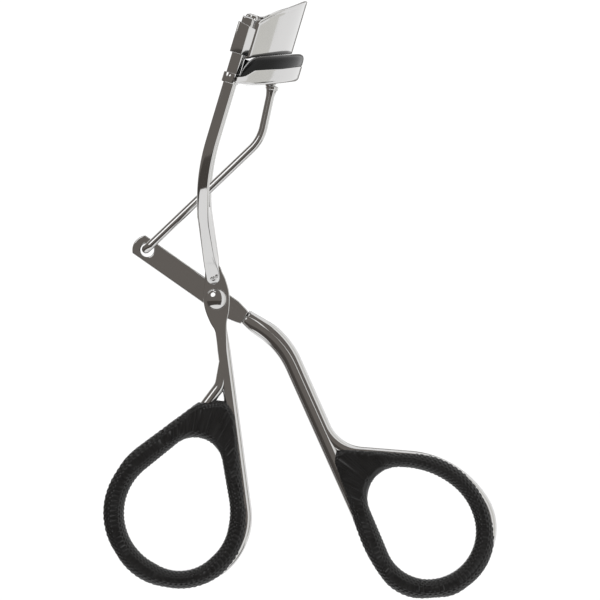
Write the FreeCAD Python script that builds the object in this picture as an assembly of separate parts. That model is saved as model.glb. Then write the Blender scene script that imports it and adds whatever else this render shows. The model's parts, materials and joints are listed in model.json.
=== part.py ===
import FreeCAD, Part
import math
import os

from FreeCAD import Vector

# Eyelash curler, in millimetres. X points away from the user's face, Y goes across the jaws, Z is up.
# The handles, the lever and the link move in planes parallel to XZ. The fixed handle hangs down, the
# jaws are at the top and closed. Points written as (x, z) are measured from the pivot rivet's centre,
# and the finished pieces are moved so that the origin is at the bottom centre of the overall box.
PIVOT_X = -14.89
PIVOT_Z = 54.06

# Flat stock at the pivot: the fixed handle's plate, then the lever behind it.
PLATE_THICK = 1.2
LEVER_THICK = 1.2
FACE_GAP = 0.05
RUNNING_CLEARANCE = 0.05

# Pivot rivet
RIVET_SHANK_R = 1.0
RIVET_HEAD_R = 1.93
RIVET_HEAD_HEIGHT = 1.25
REAR_HEAD_HEIGHT = 0.9

# Handle wires
FIXED_ROD_R = 1.2
LEVER_ROD_R = 1.4
RETURN_THINNER = 0.15
FIXED_ROD_PATH = [(0.95, -6.2), (5.5, -40.8), (1.1, -51.5), (-15.5, -49.6), (-18.7, -41.4),
                  (-18.1, -31.3), (-2.9, -20.4), (0.7, -15.6), (1.55, -10.8)]
FIXED_ROD_RADII = [11.0, 10.8, 10.2, 10.2, 12.5, 5.2, 3.0]
LEVER_ROD_PATH = [(4.9, -3.44), (11.5, -8.5), (28.7, -46.3), (32.7, -53.6), (44.8, -51.5),
                  (50.25, -41.2), (42.6, -29.75), (20.9, -27.7), (19.3, -22.2), (16.28, -19.0)]
LEVER_ROD_RADII = [15.7, 10.4, 9.6, 9.7, 9.1, 16.8, 6.5, 1.8]

# Fixed handle's pivot plate, outlined from the top of its welding pad round to the rod
PLATE_OUTLINE = [(-1.9, 6.3), (0.7, 6.3), (2.35, 2.0), (2.5, -2.0), (1.75, -6.6), (0.15, -6.6),
                 (-2.3, -1.2), (-2.4, 2.2)]
PLATE_OUTLINE_RADII = [1.0, 1.0, 3.0, 4.0, 0.3, 0.3, 4.0, 3.0]

# Lever's flat arm
LEVER_AXIS_DEG = 144.9
LEVER_HALF_WIDTH = 2.0
LEVER_HOLE_FROM_PIVOT = 15.25
LEVER_HOLE_R = 1.22
LEVER_END_R = 2.7
LEVER_FLAT_PAST_PIVOT = 6.3
LEVER_CORNER_R = 0.8
SHARP_CORNER_R = 0.05

# Grips: the rubber ring in each finger loop, as an outer and an inner outline
GRIP_THICK = 3.5
GRIP_ROUND = 1.0
FIXED_GRIP_OUTER = [(-3.4, -18.7), (3.0, -18.0), (6.0, -41.6), (0.6, -53.5), (-15.0, -51.0),
                    (-22.6, -38.5), (-16.3, -28.3)]
FIXED_GRIP_OUTER_RADII = [0.9, 3.1, 13.8, 11.9, 11.3, 12.8, 14.2]
FIXED_GRIP_INNER = [(-0.4, -20.6), (2.7, -38.6), (1.5, -44.4), (-5.5, -50.9), (-24.6, -40.2)]
FIXED_GRIP_INNER_RADII = [5.1, 13.4, 2.6, 7.9, 10.2]
LEVER_GRIP_OUTER = [(20.1, -26.8), (39.7, -28.1), (48.4, -33.7), (51.5, -47.3), (42.9, -53.7),
                    (32.8, -54.4), (27.4, -45.9)]
LEVER_GRIP_OUTER_RADII = [1.9, 14.7, 15.5, 11.3, 7.0, 8.8, 44.0]
LEVER_GRIP_INNER = [(24.4, -30.4), (38.3, -30.3), (45.6, -36.1), (49.0, -49.6), (33.2, -51.3)]
LEVER_GRIP_INNER_RADII = [5.6, 15.4, 11.3, 8.7, 7.9]

# Guide arms. Their top stretch is straight and leans away from the vertical by ARM_LEAN_DEG. A
# point of the head is given there as s, square to the arms, and h, along them, from ARM_DATUM.
ARM_LEAN_DEG = 16.7
ARM_DATUM = (3.51, 42.3)
ARM_SPREAD = 15.0
ARM_WIDTH = 2.2
ARM_DEPTH = 2.2
ARM_ROUND = 0.5
ARM_TOP_H = 7.9
ARM_BEND = (-2.81, 21.26)
ARM_BEND_TANGENT = 8.0
ARM_FOOT_TANGENT = 1.3
ARM_FOOT_WIDTH = 2.9
ARM_FOOT_DEPTH = 1.1
ARM_NECK_WIDTH = 2.75
ARM_NECK_DEPTH = 1.25
ARM_BEND_STEPS = 6
ARM_BORE_FROM_H = -14.0
ARM_BORE_TO_H = 24.0
FRONT_FOOT = (-0.6, 4.1)
FRONT_FOOT_BEND = (-0.66, 5.6)
REAR_FOOT = (-0.65, 5.05)
REAR_FOOT_BEND = (-0.72, 6.6)
WELD_DIMPLE_R = 0.7
WELD_DIMPLE_DEPTH = 0.25

# Jaws. Seen along the arms, both follow one arc. Their faces are tilted against s by JAW_TILT_DEG,
# and q is the distance square to that tilt.
JAW_ARC_R = 17.0
JAW_ARC_APEX_S = 8.85
JAW_TILT_DEG = 26.0
JAW_END_DEG = 57.5
UPPER_OUTER_R = 17.1
UPPER_THICK = 0.8
UPPER_EDGE_Q = 0.62
UPPER_TOP = [(0.6, 7.7), (4.99, 11.1), (9.1, 14.4)]
UPPER_HEM_THICK = 1.3
UPPER_HEM_HEIGHT = 1.2
UPPER_HEM_END_DEG = 53.5
SLEEVE_WALL = 0.4
SLEEVE_H = (1.5, 6.1)
COLLAR_WALL = 0.4
COLLAR_H = (-3.85, -2.15)
COLLAR_CLEARANCE = 0.06
COLLAR_STRAP_TO_S = 2.7
STRAP_ROUND = 0.1
TROUGH_WIDTH = 5.45
TROUGH_BOTTOM_Q = -4.65
TROUGH_RIM_Q = -2.3
TROUGH_SHEET = 0.4
TROUGH_END_S = 1.4
WIDE_END_DEG = 70.0
PAD_TOP_Q = 0.5
PAD_WIDTH = 5.3
PAD_ROUND = 1.1
PAD_END_DEG = 51.0

# Push link, a wire in the plane Y = LINK_Y
LINK_R = 0.775
LINK_Y = -0.3
LINK_JOINT = (10.33, 39.51)
LINK_KNEE = (8.0, 28.64)
LINK_KNEE_R = 7.5
HOOK_OFFSET = (-0.21, 0.15)
HOOK_BEND_R = 1.1
HOOK_END_Y = 2.75
NECK_R = 0.55
NECK_CLEARANCE = 0.06
NECK_BELOW_TROUGH = 1.6
NECK_HOLE_LENGTH = 1.6
BARREL_R = 0.8
BARREL_LENGTH = 1.7
BARREL_SPACE = 0.3
FERRULE_R = 1.1
FERRULE_LENGTH = 0.75
FERRULE_BELOW_TROUGH = 0.45

LEAN = math.radians(ARM_LEAN_DEG)
TILT = math.radians(JAW_TILT_DEG)
ARM_DIR = Vector(math.sin(LEAN), 0, math.cos(LEAN))
ACROSS_DIR = Vector(math.cos(LEAN), 0, -math.sin(LEAN))
JAW_NORMAL = ARM_DIR * math.cos(TILT) - ACROSS_DIR * math.sin(TILT)
Y_DIR = Vector(0, 1, 0)
FAR = 60.0
SAME = 0.01


def at(point, y=0.0):
    """A point given as (x, z) from the pivot."""
    return Vector(point[0], y, point[1])


def head(s, h, y=0.0):
    """A point of the head, s square to the arms and h along them."""
    return at(ARM_DATUM, y) + ACROSS_DIR * s + ARM_DIR * h


def rounded_edges(points, radii, closed):
    """Straight runs joined by tangent arcs, one radius for each corner."""
    count = len(points)
    corners = range(count) if closed else range(1, count - 1)
    arcs = []
    for corner, radius in zip(corners, radii):
        here = points[corner]
        back = (points[corner - 1] - here).normalize()
        ahead = (points[(corner + 1) % count] - here).normalize()
        half = back.getAngle(ahead) / 2
        bisector = (back + ahead).normalize()
        start = here + back * (radius / math.tan(half))
        end = here + ahead * (radius / math.tan(half))
        middle = here + bisector * (radius / math.sin(half) - radius)
        arcs.append((start, middle, end))
    edges = []
    last = arcs[-1][2] if closed else points[0]
    for start, middle, end in arcs:
        edges.append(Part.LineSegment(last, start).toShape())
        edges.append(Part.Arc(start, middle, end).toShape())
        last = end
    if not closed:
        edges.append(Part.LineSegment(last, points[-1]).toShape())
    return edges


def outline_solid(points, radii, y_from, y_to):
    """A rounded outline in the XZ plane, made into a plate."""
    edges = rounded_edges([at(point, y_from) for point in points], radii, True)
    return Part.Face(Part.Wire(edges)).extrude(Y_DIR * (y_to - y_from))


def tube(edges, radius):
    """Round wire along straight and circular edges that follow each other smoothly."""
    first = edges[0].FirstParameter
    section = Part.makeCircle(radius, edges[0].valueAt(first), edges[0].tangentAt(first))
    solid = Part.Wire(edges).makePipeShell([Part.Wire(section)], True, False)
    if solid.Volume < 0:
        solid.reverse()
    return solid


def finger_loop(edges, radius):
    """A wire bent back on itself. Its second half is a little thinner, so its end lies in the rod."""
    half = len(edges) // 2
    return tube(edges[:half], radius).fuse(tube(edges[half:], radius - RETURN_THINNER))


def ball(centre, radius):
    return Part.makeSphere(radius, centre)


def cylinder_y(point, radius, y_from, y_to):
    return Part.makeCylinder(radius, y_to - y_from, at(point, y_from), Y_DIR)


def wire_path(points, radii, y):
    return rounded_edges([at(point, y) for point in points], radii, False)


def rounded_section(centre, across, deep, width, depth, rounding):
    """A rectangle with rounded corners, centred on a point."""
    corners = []
    for sign_a, sign_b in ((-1, -1), (1, -1), (1, 1), (-1, 1)):
        corners.append(centre + across * (sign_a * width / 2) + deep * (sign_b * depth / 2))
    return Part.Wire(rounded_edges(corners, [rounding] * 4, True))


def make_fixed_handle():
    plate = outline_solid(PLATE_OUTLINE, PLATE_OUTLINE_RADII, -PLATE_THICK / 2, PLATE_THICK / 2)
    plate = plate.cut(cylinder_y((0, 0), RIVET_SHANK_R, -FAR, FAR))
    path = wire_path(FIXED_ROD_PATH, FIXED_ROD_RADII, 0)
    top_ball = ball(at(FIXED_ROD_PATH[0]), FIXED_ROD_R)
    return plate.multiFuse([finger_loop(path, FIXED_ROD_R), top_ball])


def lever_point(along, aside):
    """A point of the lever's flat, from the pivot towards its hole and square to that."""
    angle = math.radians(LEVER_AXIS_DEG)
    x = along * math.cos(angle) + aside * math.sin(angle)
    z = along * math.sin(angle) - aside * math.cos(angle)
    return (x, z)


def lever_mid_y():
    return PLATE_THICK / 2 + FACE_GAP + LEVER_THICK / 2


def make_lever_handle():
    y_from = lever_mid_y() - LEVER_THICK / 2
    y_to = lever_mid_y() + LEVER_THICK / 2
    chord = math.sqrt(LEVER_END_R ** 2 - LEVER_HALF_WIDTH ** 2)
    arc_start = LEVER_HOLE_FROM_PIVOT + chord
    outline = []
    for along, aside in ((-LEVER_FLAT_PAST_PIVOT, -1), (arc_start, -1), (arc_start, 1),
                         (-LEVER_FLAT_PAST_PIVOT, 1)):
        outline.append(lever_point(along, aside * LEVER_HALF_WIDTH))
    flat = outline_solid(outline, [LEVER_CORNER_R, SHARP_CORNER_R, SHARP_CORNER_R, LEVER_CORNER_R],
                         y_from, y_to)
    hole_at = lever_point(LEVER_HOLE_FROM_PIVOT, 0)
    end = cylinder_y(hole_at, LEVER_END_R, y_from, y_to)
    end_box = outline_solid([lever_point(LEVER_HOLE_FROM_PIVOT, -FAR), lever_point(FAR, -FAR),
                             lever_point(FAR, FAR), lever_point(LEVER_HOLE_FROM_PIVOT, FAR)],
                            [SHARP_CORNER_R] * 4, y_from, y_to)
    band = outline_solid([lever_point(0, -LEVER_HALF_WIDTH), lever_point(FAR, -LEVER_HALF_WIDTH),
                          lever_point(FAR, LEVER_HALF_WIDTH), lever_point(0, LEVER_HALF_WIDTH)],
                         [SHARP_CORNER_R] * 4, y_from, y_to)
    tip = end.common(end_box).common(band)
    path = wire_path(LEVER_ROD_PATH, LEVER_ROD_RADII, lever_mid_y())
    rod = finger_loop(path, LEVER_ROD_R).fuse(ball(path[0].valueAt(path[0].FirstParameter), LEVER_ROD_R))
    solid = flat.multiFuse([tip, rod])
    pivot_hole = cylinder_y((0, 0), RIVET_SHANK_R + RUNNING_CLEARANCE, -FAR, FAR)
    return solid.cut(pivot_hole).cut(cylinder_y(hole_at, LEVER_HOLE_R, -FAR, FAR))


def domed_head(centre, direction, radius, height):
    """A spherical cap standing on a plane."""
    sphere_r = (radius ** 2 + height ** 2) / (2 * height)
    sphere = Part.makeSphere(sphere_r, centre - direction * (sphere_r - height))
    return sphere.common(Part.makeCylinder(radius + 1, height + 1, centre, direction))


def make_pivot_rivet():
    front = -PLATE_THICK / 2
    back = lever_mid_y() + LEVER_THICK / 2 + FACE_GAP
    shank = cylinder_y((0, 0), RIVET_SHANK_R, front, back)
    front_head = domed_head(Vector(0, front, 0), -Y_DIR, RIVET_HEAD_R, RIVET_HEAD_HEIGHT)
    back_head = domed_head(Vector(0, back, 0), Y_DIR, RIVET_HEAD_R, REAR_HEAD_HEIGHT)
    return shank.multiFuse([front_head, back_head])


def arm_sections(points, width_from, width_to, depth_from, depth_to):
    """Rounded rectangles square to a path of points, one at each point."""
    sections = []
    last = len(points) - 1
    for index, (centre, tangent) in enumerate(points):
        share = index / last
        across = Vector(tangent.z, 0, -tangent.x).normalize()
        deep = tangent.cross(across).normalize()
        width = width_from + (width_to - width_from) * share
        depth = depth_from + (depth_to - depth_from) * share
        sections.append(rounded_section(centre, across, deep, width, depth, ARM_ROUND))
    return sections


def make_arm(side, foot, foot_bend_at):
    """One guide arm: a flattened foot, a slanting run, a bend and the straight top stretch."""
    foot_y = side * (PLATE_THICK / 2 + ARM_FOOT_DEPTH / 2)
    start = at(foot, foot_y)
    foot_bend = at(foot_bend_at, foot_y)
    bend = at(ARM_BEND, side * ARM_SPREAD)
    top = head(0, ARM_TOP_H, side * ARM_SPREAD)
    up = (foot_bend - start).normalize()
    slant = (bend - foot_bend).normalize()
    stations = [[(start, up), (foot_bend - up * ARM_FOOT_TANGENT, up)]]
    for corner, before, after, tangent in ((foot_bend, up, slant, ARM_FOOT_TANGENT),
                                           (bend, slant, ARM_DIR, ARM_BEND_TANGENT)):
        turn = before.getAngle(after)
        radius = tangent / math.tan(turn / 2)
        inward = (after - before).normalize()
        centre = corner + inward * (radius / math.cos(turn / 2))
        arc_start = corner - before * tangent
        spin_axis = before.cross(after).normalize()
        arc = []
        for step in range(ARM_BEND_STEPS + 1):
            spin = FreeCAD.Rotation(spin_axis, math.degrees(turn) * step / ARM_BEND_STEPS)
            arc.append((centre + spin.multVec(arc_start - centre), spin.multVec(before)))
        stations.append([stations[-1][-1], arc[0]])
        stations.append(arc)
    stations.append([stations[-1][-1], (top, ARM_DIR)])
    sizes = [(ARM_FOOT_WIDTH, ARM_FOOT_DEPTH), (ARM_FOOT_WIDTH, ARM_FOOT_DEPTH),
             (ARM_FOOT_WIDTH, ARM_FOOT_DEPTH), (ARM_NECK_WIDTH, ARM_NECK_DEPTH), (ARM_WIDTH, ARM_DEPTH),
             (ARM_WIDTH, ARM_DEPTH), (ARM_WIDTH, ARM_DEPTH)]
    pieces = []
    for index, run in enumerate(stations):
        if (run[-1][0] - run[0][0]).Length < SAME:
            continue
        width_from, depth_from = sizes[index]
        width_to, depth_to = sizes[index + 1]
        sections = arm_sections(run, width_from, width_to, depth_from, depth_to)
        pieces.append(Part.makeLoft(sections, True, len(run) == 2))
    toe = cylinder_y(foot, ARM_FOOT_WIDTH / 2, foot_y - ARM_FOOT_DEPTH / 2, foot_y + ARM_FOOT_DEPTH / 2)
    arm = pieces[0].multiFuse(pieces[1:] + [toe])
    dimple_r = (WELD_DIMPLE_R ** 2 + WELD_DIMPLE_DEPTH ** 2) / (2 * WELD_DIMPLE_DEPTH)
    face = at(foot, foot_y + side * ARM_FOOT_DEPTH / 2)
    return arm.cut(ball(face + Y_DIR * (side * (dimple_r - WELD_DIMPLE_DEPTH)), dimple_r))


def arm_sleeve(side, wall, h_range):
    """A block round an arm's straight stretch, still without its bore."""
    centre = head(0, h_range[0], side * ARM_SPREAD)
    outer = rounded_section(centre, ACROSS_DIR, Y_DIR, ARM_WIDTH + 2 * wall, ARM_DEPTH + 2 * wall,
                            ARM_ROUND + wall)
    return Part.Face(outer).extrude(ARM_DIR * (h_range[1] - h_range[0]))


def collar_strap(side):
    """The tab that joins a collar to the trough's outer wall."""
    mid_y = side * (ARM_SPREAD + ARM_DEPTH / 2 + COLLAR_WALL - TROUGH_SHEET / 2)
    centre = head(COLLAR_STRAP_TO_S / 2, COLLAR_H[0], mid_y)
    outline = rounded_section(centre, ACROSS_DIR, Y_DIR, COLLAR_STRAP_TO_S, TROUGH_SHEET,
                              STRAP_ROUND)
    return Part.Face(outline).extrude(ARM_DIR * (COLLAR_H[1] - COLLAR_H[0]))


def arm_bore(side, clearance):
    """The space of an arm's straight stretch, with some clearance."""
    centre = head(0, ARM_BORE_FROM_H, side * ARM_SPREAD)
    outline = rounded_section(centre, ACROSS_DIR, Y_DIR, ARM_WIDTH + 2 * clearance,
                              ARM_DEPTH + 2 * clearance, ARM_ROUND + clearance)
    return Part.Face(outline).extrude(ARM_DIR * (ARM_BORE_TO_H - ARM_BORE_FROM_H))


def arc_band(inner_r, outer_r, end_deg):
    """The part of a ring that the jaws cover, seen along the arms, made tall along them."""
    centre = head(JAW_ARC_APEX_S - JAW_ARC_R, -FAR / 2)

    def on(radius, degrees):
        angle = math.radians(degrees)
        return centre + ACROSS_DIR * (radius * math.cos(angle)) + Y_DIR * (radius * math.sin(angle))

    edges = [Part.Arc(on(inner_r, -end_deg), on(inner_r, 0), on(inner_r, end_deg)).toShape(),
             Part.LineSegment(on(inner_r, end_deg), on(outer_r, end_deg)).toShape(),
             Part.Arc(on(outer_r, end_deg), on(outer_r, 0), on(outer_r, -end_deg)).toShape(),
             Part.LineSegment(on(outer_r, -end_deg), on(inner_r, -end_deg)).toShape()]
    return Part.Face(Part.Wire(edges)).extrude(ARM_DIR * FAR)


def past_arms(s_from):
    """Everything on the jaws' side of a plane that is square to s."""
    corner = head(s_from, -FAR / 2, -FAR / 2)
    edges = [corner, corner + ARM_DIR * FAR, corner + ARM_DIR * FAR + Y_DIR * FAR, corner + Y_DIR * FAR]
    return Part.Face(Part.makePolygon(edges + [corner])).extrude(ACROSS_DIR * FAR)


def tilted_slab(q_from, q_to):
    """Everything between two planes parallel to the jaws' faces."""
    tilted_across = ACROSS_DIR * math.cos(TILT) + ARM_DIR * math.sin(TILT)
    corner = head(0, 0) + JAW_NORMAL * q_from
    points = []
    for sign_a, sign_b in ((-1, -1), (1, -1), (1, 1), (-1, 1)):
        points.append(corner + tilted_across * (sign_a * FAR) + Y_DIR * (sign_b * FAR))
    face = Part.Face(Part.makePolygon(points + [points[0]]))
    return face.extrude(JAW_NORMAL * (q_to - q_from))


def under_top_edge(drop):
    """The space under the upper jaw's top edge, lowered by some distance."""
    arc = Part.Arc(*[head(s, h - drop, -FAR) for s, h in UPPER_TOP]).toShape()
    near = head(UPPER_TOP[0][0], -FAR, -FAR)
    far = head(UPPER_TOP[-1][0], -FAR, -FAR)
    edges = [arc, Part.LineSegment(arc.valueAt(arc.LastParameter), far).toShape(),
             Part.LineSegment(far, near).toShape(),
             Part.LineSegment(near, arc.valueAt(arc.FirstParameter)).toShape()]
    return Part.Face(Part.Wire(edges)).extrude(Y_DIR * (2 * FAR))


def make_upper_jaw(arms):
    plate = arc_band(UPPER_OUTER_R - UPPER_THICK, UPPER_OUTER_R, JAW_END_DEG)
    hem = arc_band(UPPER_OUTER_R - UPPER_HEM_THICK, UPPER_OUTER_R, UPPER_HEM_END_DEG)
    hem = hem.common(under_top_edge(0)).cut(under_top_edge(UPPER_HEM_HEIGHT))
    jaw = plate.common(tilted_slab(UPPER_EDGE_Q, FAR)).common(under_top_edge(0)).fuse(hem)
    jaw = jaw.multiFuse([arm_sleeve(side, SLEEVE_WALL, SLEEVE_H) for side in (-1, 1)])
    for arm in arms:
        jaw = jaw.cut(arm)
    return jaw


def make_lower_jaw():
    half = TROUGH_WIDTH / 2
    trough = arc_band(JAW_ARC_R - half, JAW_ARC_R + half, WIDE_END_DEG).common(past_arms(TROUGH_END_S))
    trough = trough.common(tilted_slab(TROUGH_BOTTOM_Q, TROUGH_RIM_Q))
    hollow = arc_band(JAW_ARC_R - half + TROUGH_SHEET, JAW_ARC_R + half - TROUGH_SHEET, WIDE_END_DEG)
    hollow = hollow.common(tilted_slab(TROUGH_BOTTOM_Q + TROUGH_SHEET, FAR))
    jaw = trough.cut(hollow)
    for side in (-1, 1):
        jaw = jaw.multiFuse([arm_sleeve(side, COLLAR_WALL, COLLAR_H), collar_strap(side)])
        jaw = jaw.cut(arm_bore(side, COLLAR_CLEARANCE))
    neck_hole = Part.makeCylinder(NECK_R + NECK_CLEARANCE, NECK_HOLE_LENGTH,
                                  floor_point(TROUGH_BOTTOM_Q - TROUGH_SHEET), link_up())
    return jaw.cut(neck_hole).cut(barrel(NECK_CLEARANCE))


def link_up():
    """The direction of the link's top stretch."""
    return (at(LINK_JOINT) - at(LINK_KNEE)).normalize()


def barrel(clearance):
    """The cross barrel on the link's top end, on the link joint's axis, or with clearance its seat."""
    half = BARREL_LENGTH / 2 + clearance
    return cylinder_y(LINK_JOINT, BARREL_R + clearance, LINK_Y - half, LINK_Y + half)


def floor_point(q):
    """The point on the link's top axis that lies at a given q."""
    joint = at(LINK_JOINT, LINK_Y)
    joint_q = (joint - head(0, 0)).dot(JAW_NORMAL)
    return joint + link_up() * ((q - joint_q) / link_up().dot(JAW_NORMAL))


def make_pad():
    half = PAD_WIDTH / 2
    inner_half = TROUGH_WIDTH / 2 - TROUGH_SHEET
    crown = arc_band(JAW_ARC_R - half, JAW_ARC_R + half, PAD_END_DEG)
    crown = crown.common(tilted_slab(TROUGH_RIM_Q, PAD_TOP_Q))
    top_edges = []
    for edge in crown.Edges:
        heights = [(vertex.Point - head(0, 0)).dot(JAW_NORMAL) for vertex in edge.Vertexes]
        if min(heights) > PAD_TOP_Q - SAME:
            top_edges.append(edge)
    crown = crown.makeFillet(PAD_ROUND, top_edges)
    root = arc_band(JAW_ARC_R - inner_half, JAW_ARC_R + inner_half, PAD_END_DEG)
    root = root.common(tilted_slab(TROUGH_BOTTOM_Q + TROUGH_SHEET, TROUGH_RIM_Q))
    return crown.fuse(root).cut(barrel(BARREL_SPACE))


def make_push_link():
    hole_at = lever_point(LEVER_HOLE_FROM_PIVOT, 0)
    hook_at = (hole_at[0] + HOOK_OFFSET[0], hole_at[1] + HOOK_OFFSET[1])
    points = [floor_point(TROUGH_BOTTOM_Q - NECK_BELOW_TROUGH), at(LINK_KNEE, LINK_Y), at(hook_at, LINK_Y),
              at(hook_at, HOOK_END_Y)]
    wire = tube(rounded_edges(points, [LINK_KNEE_R, HOOK_BEND_R], False), LINK_R)
    neck = Part.makeCylinder(NECK_R, (at(LINK_JOINT, LINK_Y) - points[0]).Length, points[0], link_up())
    return wire.multiFuse([neck, barrel(0)])


def make_link_ferrule():
    """The shoulder pressed on the link's neck, just under the lower jaw."""
    top = floor_point(TROUGH_BOTTOM_Q - FERRULE_BELOW_TROUGH)
    bottom = top - link_up() * FERRULE_LENGTH
    collar = Part.makeCylinder(FERRULE_R, FERRULE_LENGTH, bottom, link_up())
    return collar.cut(Part.makeCylinder(NECK_R, FERRULE_LENGTH * 3, bottom - link_up(), link_up()))


def make_grip(outer, outer_radii, inner, inner_radii, mid_y, handle):
    y_from = mid_y - GRIP_THICK / 2
    y_to = mid_y + GRIP_THICK / 2
    ring = outline_solid(outer, outer_radii, y_from, y_to)
    ring = ring.cut(outline_solid(inner, inner_radii, y_from, y_to))
    rim = []
    for edge in ring.Edges:
        ys = [vertex.Point.y for vertex in edge.Vertexes]
        if max(ys) - min(ys) < SAME:
            rim.append(edge)
    ring = ring.makeFillet(GRIP_ROUND, rim)
    return ring.cut(handle)


def main():
    os.makedirs("parts", exist_ok=True)
    fixed_handle = make_fixed_handle()
    lever_handle = make_lever_handle()
    front_arm = make_arm(-1, FRONT_FOOT, FRONT_FOOT_BEND)
    rear_arm = make_arm(1, REAR_FOOT, REAR_FOOT_BEND)
    parts = {
        "fixed_handle": fixed_handle,
        "guide_arm_front": front_arm,
        "guide_arm_rear": rear_arm,
        "pivot_rivet": make_pivot_rivet(),
        "upper_jaw": make_upper_jaw([front_arm, rear_arm]),
        "fixed_handle_grip": make_grip(FIXED_GRIP_OUTER, FIXED_GRIP_OUTER_RADII, FIXED_GRIP_INNER,
                                       FIXED_GRIP_INNER_RADII, 0.0, fixed_handle),
        "lever_handle": lever_handle,
        "lever_handle_grip": make_grip(LEVER_GRIP_OUTER, LEVER_GRIP_OUTER_RADII, LEVER_GRIP_INNER,
                                       LEVER_GRIP_INNER_RADII, lever_mid_y(), lever_handle),
        "lower_jaw": make_lower_jaw(),
        "lash_pad": make_pad(),
        "push_link": make_push_link(),
        "link_ferrule": make_link_ferrule(),
    }
    box = FreeCAD.BoundBox()
    for name, shape in parts.items():
        shape.translate(Vector(PIVOT_X, 0, PIVOT_Z))
        box.add(shape.BoundBox)
        shape.exportStep("parts/" + name + ".step")
        print(name, "solids", len(shape.Solids), "valid", shape.isValid(), "volume", round(shape.Volume, 2))
    print("overall box", box)


main()
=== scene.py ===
import json
import math

import bpy
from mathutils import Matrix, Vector


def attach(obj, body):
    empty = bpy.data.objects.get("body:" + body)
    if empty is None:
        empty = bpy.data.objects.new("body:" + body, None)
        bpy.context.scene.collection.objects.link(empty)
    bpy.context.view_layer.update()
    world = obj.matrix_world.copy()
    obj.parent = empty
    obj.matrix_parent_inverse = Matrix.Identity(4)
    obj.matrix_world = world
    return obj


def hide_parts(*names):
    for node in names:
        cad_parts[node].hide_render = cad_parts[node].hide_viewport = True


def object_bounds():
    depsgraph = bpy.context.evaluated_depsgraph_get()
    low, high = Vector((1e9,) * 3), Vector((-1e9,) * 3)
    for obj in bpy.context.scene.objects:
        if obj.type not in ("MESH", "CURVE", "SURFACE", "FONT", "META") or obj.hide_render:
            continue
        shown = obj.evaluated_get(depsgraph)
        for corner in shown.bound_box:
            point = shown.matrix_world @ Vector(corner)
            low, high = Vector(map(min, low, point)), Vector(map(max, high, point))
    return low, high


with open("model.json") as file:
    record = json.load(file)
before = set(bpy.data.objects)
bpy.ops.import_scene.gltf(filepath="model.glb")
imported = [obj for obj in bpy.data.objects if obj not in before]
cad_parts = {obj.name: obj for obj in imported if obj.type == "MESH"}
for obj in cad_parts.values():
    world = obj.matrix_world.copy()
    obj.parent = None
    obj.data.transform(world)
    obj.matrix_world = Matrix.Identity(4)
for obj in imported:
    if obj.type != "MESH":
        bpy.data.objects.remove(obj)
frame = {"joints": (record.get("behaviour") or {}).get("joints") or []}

cad_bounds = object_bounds()
MM = 0.001

# The pivot rivet's axis and the arms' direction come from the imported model.
joints = {joint["name"]: joint for joint in frame["joints"]}
PIVOT = Vector(joints["lever_pivot"]["pos_m"])
ARM_DIR = Vector(joints["jaw_slide"]["axis"]).normalized()
ACROSS_DIR = Vector((ARM_DIR.z, 0, -ARM_DIR.x))
LINK_JOINT = Vector(joints["link_swing"]["pos_m"])
Y_DIR = Vector((0, 1, 0))

# Sizes in millimetres. Points written as (x, z) are measured from the pivot.
PLATE_HALF = 0.6
LEVER_MID_Y = 1.25
ARM_DATUM = (3.51, 42.3)
ARM_SPREAD = 15.0
JAW_ARC_R = 17.0
JAW_ARC_APEX_S = 8.85
JAW_TILT = math.radians(26.0)


def at(x, z, y=0.0):
    """A point in metres from its distances to the pivot in millimetres."""
    return Vector((PIVOT.x + x * MM, y * MM, PIVOT.z + z * MM))


def head(s, h, y=0.0):
    """A point of the head: s square to the arms and h along them, in millimetres."""
    return at(*ARM_DATUM, y) + ACROSS_DIR * (s * MM) + ARM_DIR * (h * MM)


# ---------------------------------------------------------------- paths

def rounded_path(points, radii, closed=False, step=0.5):
    """Points along straight runs joined by tangent arcs, about one step apart, in millimetres."""
    corners = [Vector(point) for point in points]
    count = len(corners)
    inner = range(count) if closed else range(1, count - 1)
    arcs = []
    for index, radius in zip(inner, radii):
        here = corners[index]
        back = (corners[index - 1] - here).normalized()
        ahead = (corners[(index + 1) % count] - here).normalized()
        half = back.angle(ahead) / 2
        centre = here + (back + ahead).normalized() * (radius / math.sin(half))
        start = here + back * (radius / math.tan(half)) - centre
        turn = math.pi - 2 * half
        side = (here + ahead * (radius / math.tan(half)) - centre - start * math.cos(turn)) / math.sin(turn)
        steps = max(3, math.ceil(radius * turn / step))
        arcs.append([centre + start * math.cos(turn * i / steps) + side * math.sin(turn * i / steps)
                     for i in range(steps + 1)])
    path = [] if closed else [corners[0]]
    last = arcs[-1][-1] if closed else corners[0]
    for arc in arcs:
        path += straight(last, arc[0], step)
        path += arc
        last = arc[-1]
    if not closed:
        path += straight(last, corners[-1], step)
        path.append(corners[-1])
    return path


def straight(start, end, step):
    """The points strictly between two ends."""
    steps = max(1, round((end - start).length / step))
    return [start.lerp(end, i / steps) for i in range(1, steps)]


def smooth_through(rows, steps):
    """Catmull-Rom interpolation of rows of numbers, with some steps between each two rows."""
    result = []
    for i in range(len(rows) - 1):
        p0, p1 = rows[max(i - 1, 0)], rows[i]
        p2, p3 = rows[i + 1], rows[min(i + 2, len(rows) - 1)]
        for k in range(steps):
            t = k / steps
            row = []
            for a, b, c, d in zip(p0, p1, p2, p3):
                row.append(0.5 * (2 * b + (c - a) * t + (2 * a - 5 * b + 4 * c - d) * t * t
                                  + (3 * b - a - 3 * c + d) * t ** 3))
            result.append(row)
    result.append(list(rows[-1]))
    return result


def along_line(rows, x):
    """The value at x of a broken line given as rows of (x, value)."""
    for (x0, v0), (x1, v1) in zip(rows, rows[1:]):
        if x <= x1:
            return v0 + (v1 - v0) * max(0, x - x0) / (x1 - x0)
    return rows[-1][1]


def eased(share):
    """Smooth start and stop between 0 and 1."""
    share = min(1, max(0, share))
    return share * share * (3 - 2 * share)


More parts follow.
